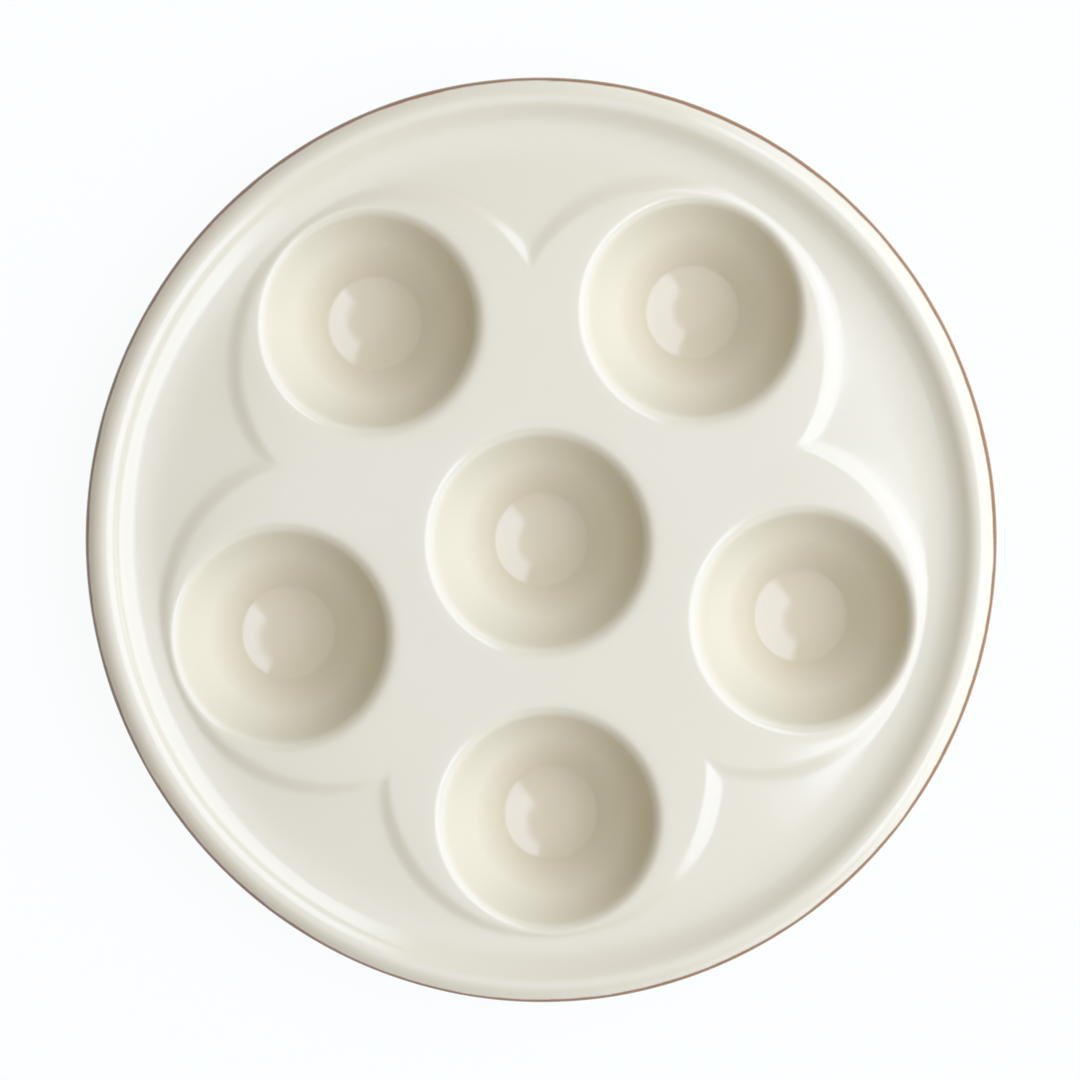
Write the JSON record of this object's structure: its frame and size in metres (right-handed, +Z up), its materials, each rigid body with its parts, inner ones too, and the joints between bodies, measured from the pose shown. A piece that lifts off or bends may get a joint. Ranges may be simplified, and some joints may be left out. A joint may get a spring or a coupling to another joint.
{
  "type": "escargot plate",
  "caption": "Round stoneware plate, cream-glazed above and brown outside, with deep round snail wells in a lobed plateau, butter pools, a low rounded rim and a foot ring.",
  "frame": {"origin": "centre of the foot ring, on the plane that it stands on", "axes": "+Z up out of the wells; the plate mirrors across X = 0, and one well of the outer ring lies on the -Y side"},
  "size_m": [0.17, 0.17, 0.025],
  "materials": {
    "bare_stoneware": "unglazed fired clay, matt and slightly gritty",
    "cream_glaze": "glossy warm cream glaze",
    "brown_glaze": "glossy caramel brown glaze"
  },
  "bodies": {
    "root": {"stoneware_body": "bare_stoneware", "cream_glaze": "cream_glaze", "brown_glaze_outside": "brown_glaze", "brown_glaze_underside": "brown_glaze"}
  },
  "joints": []
}
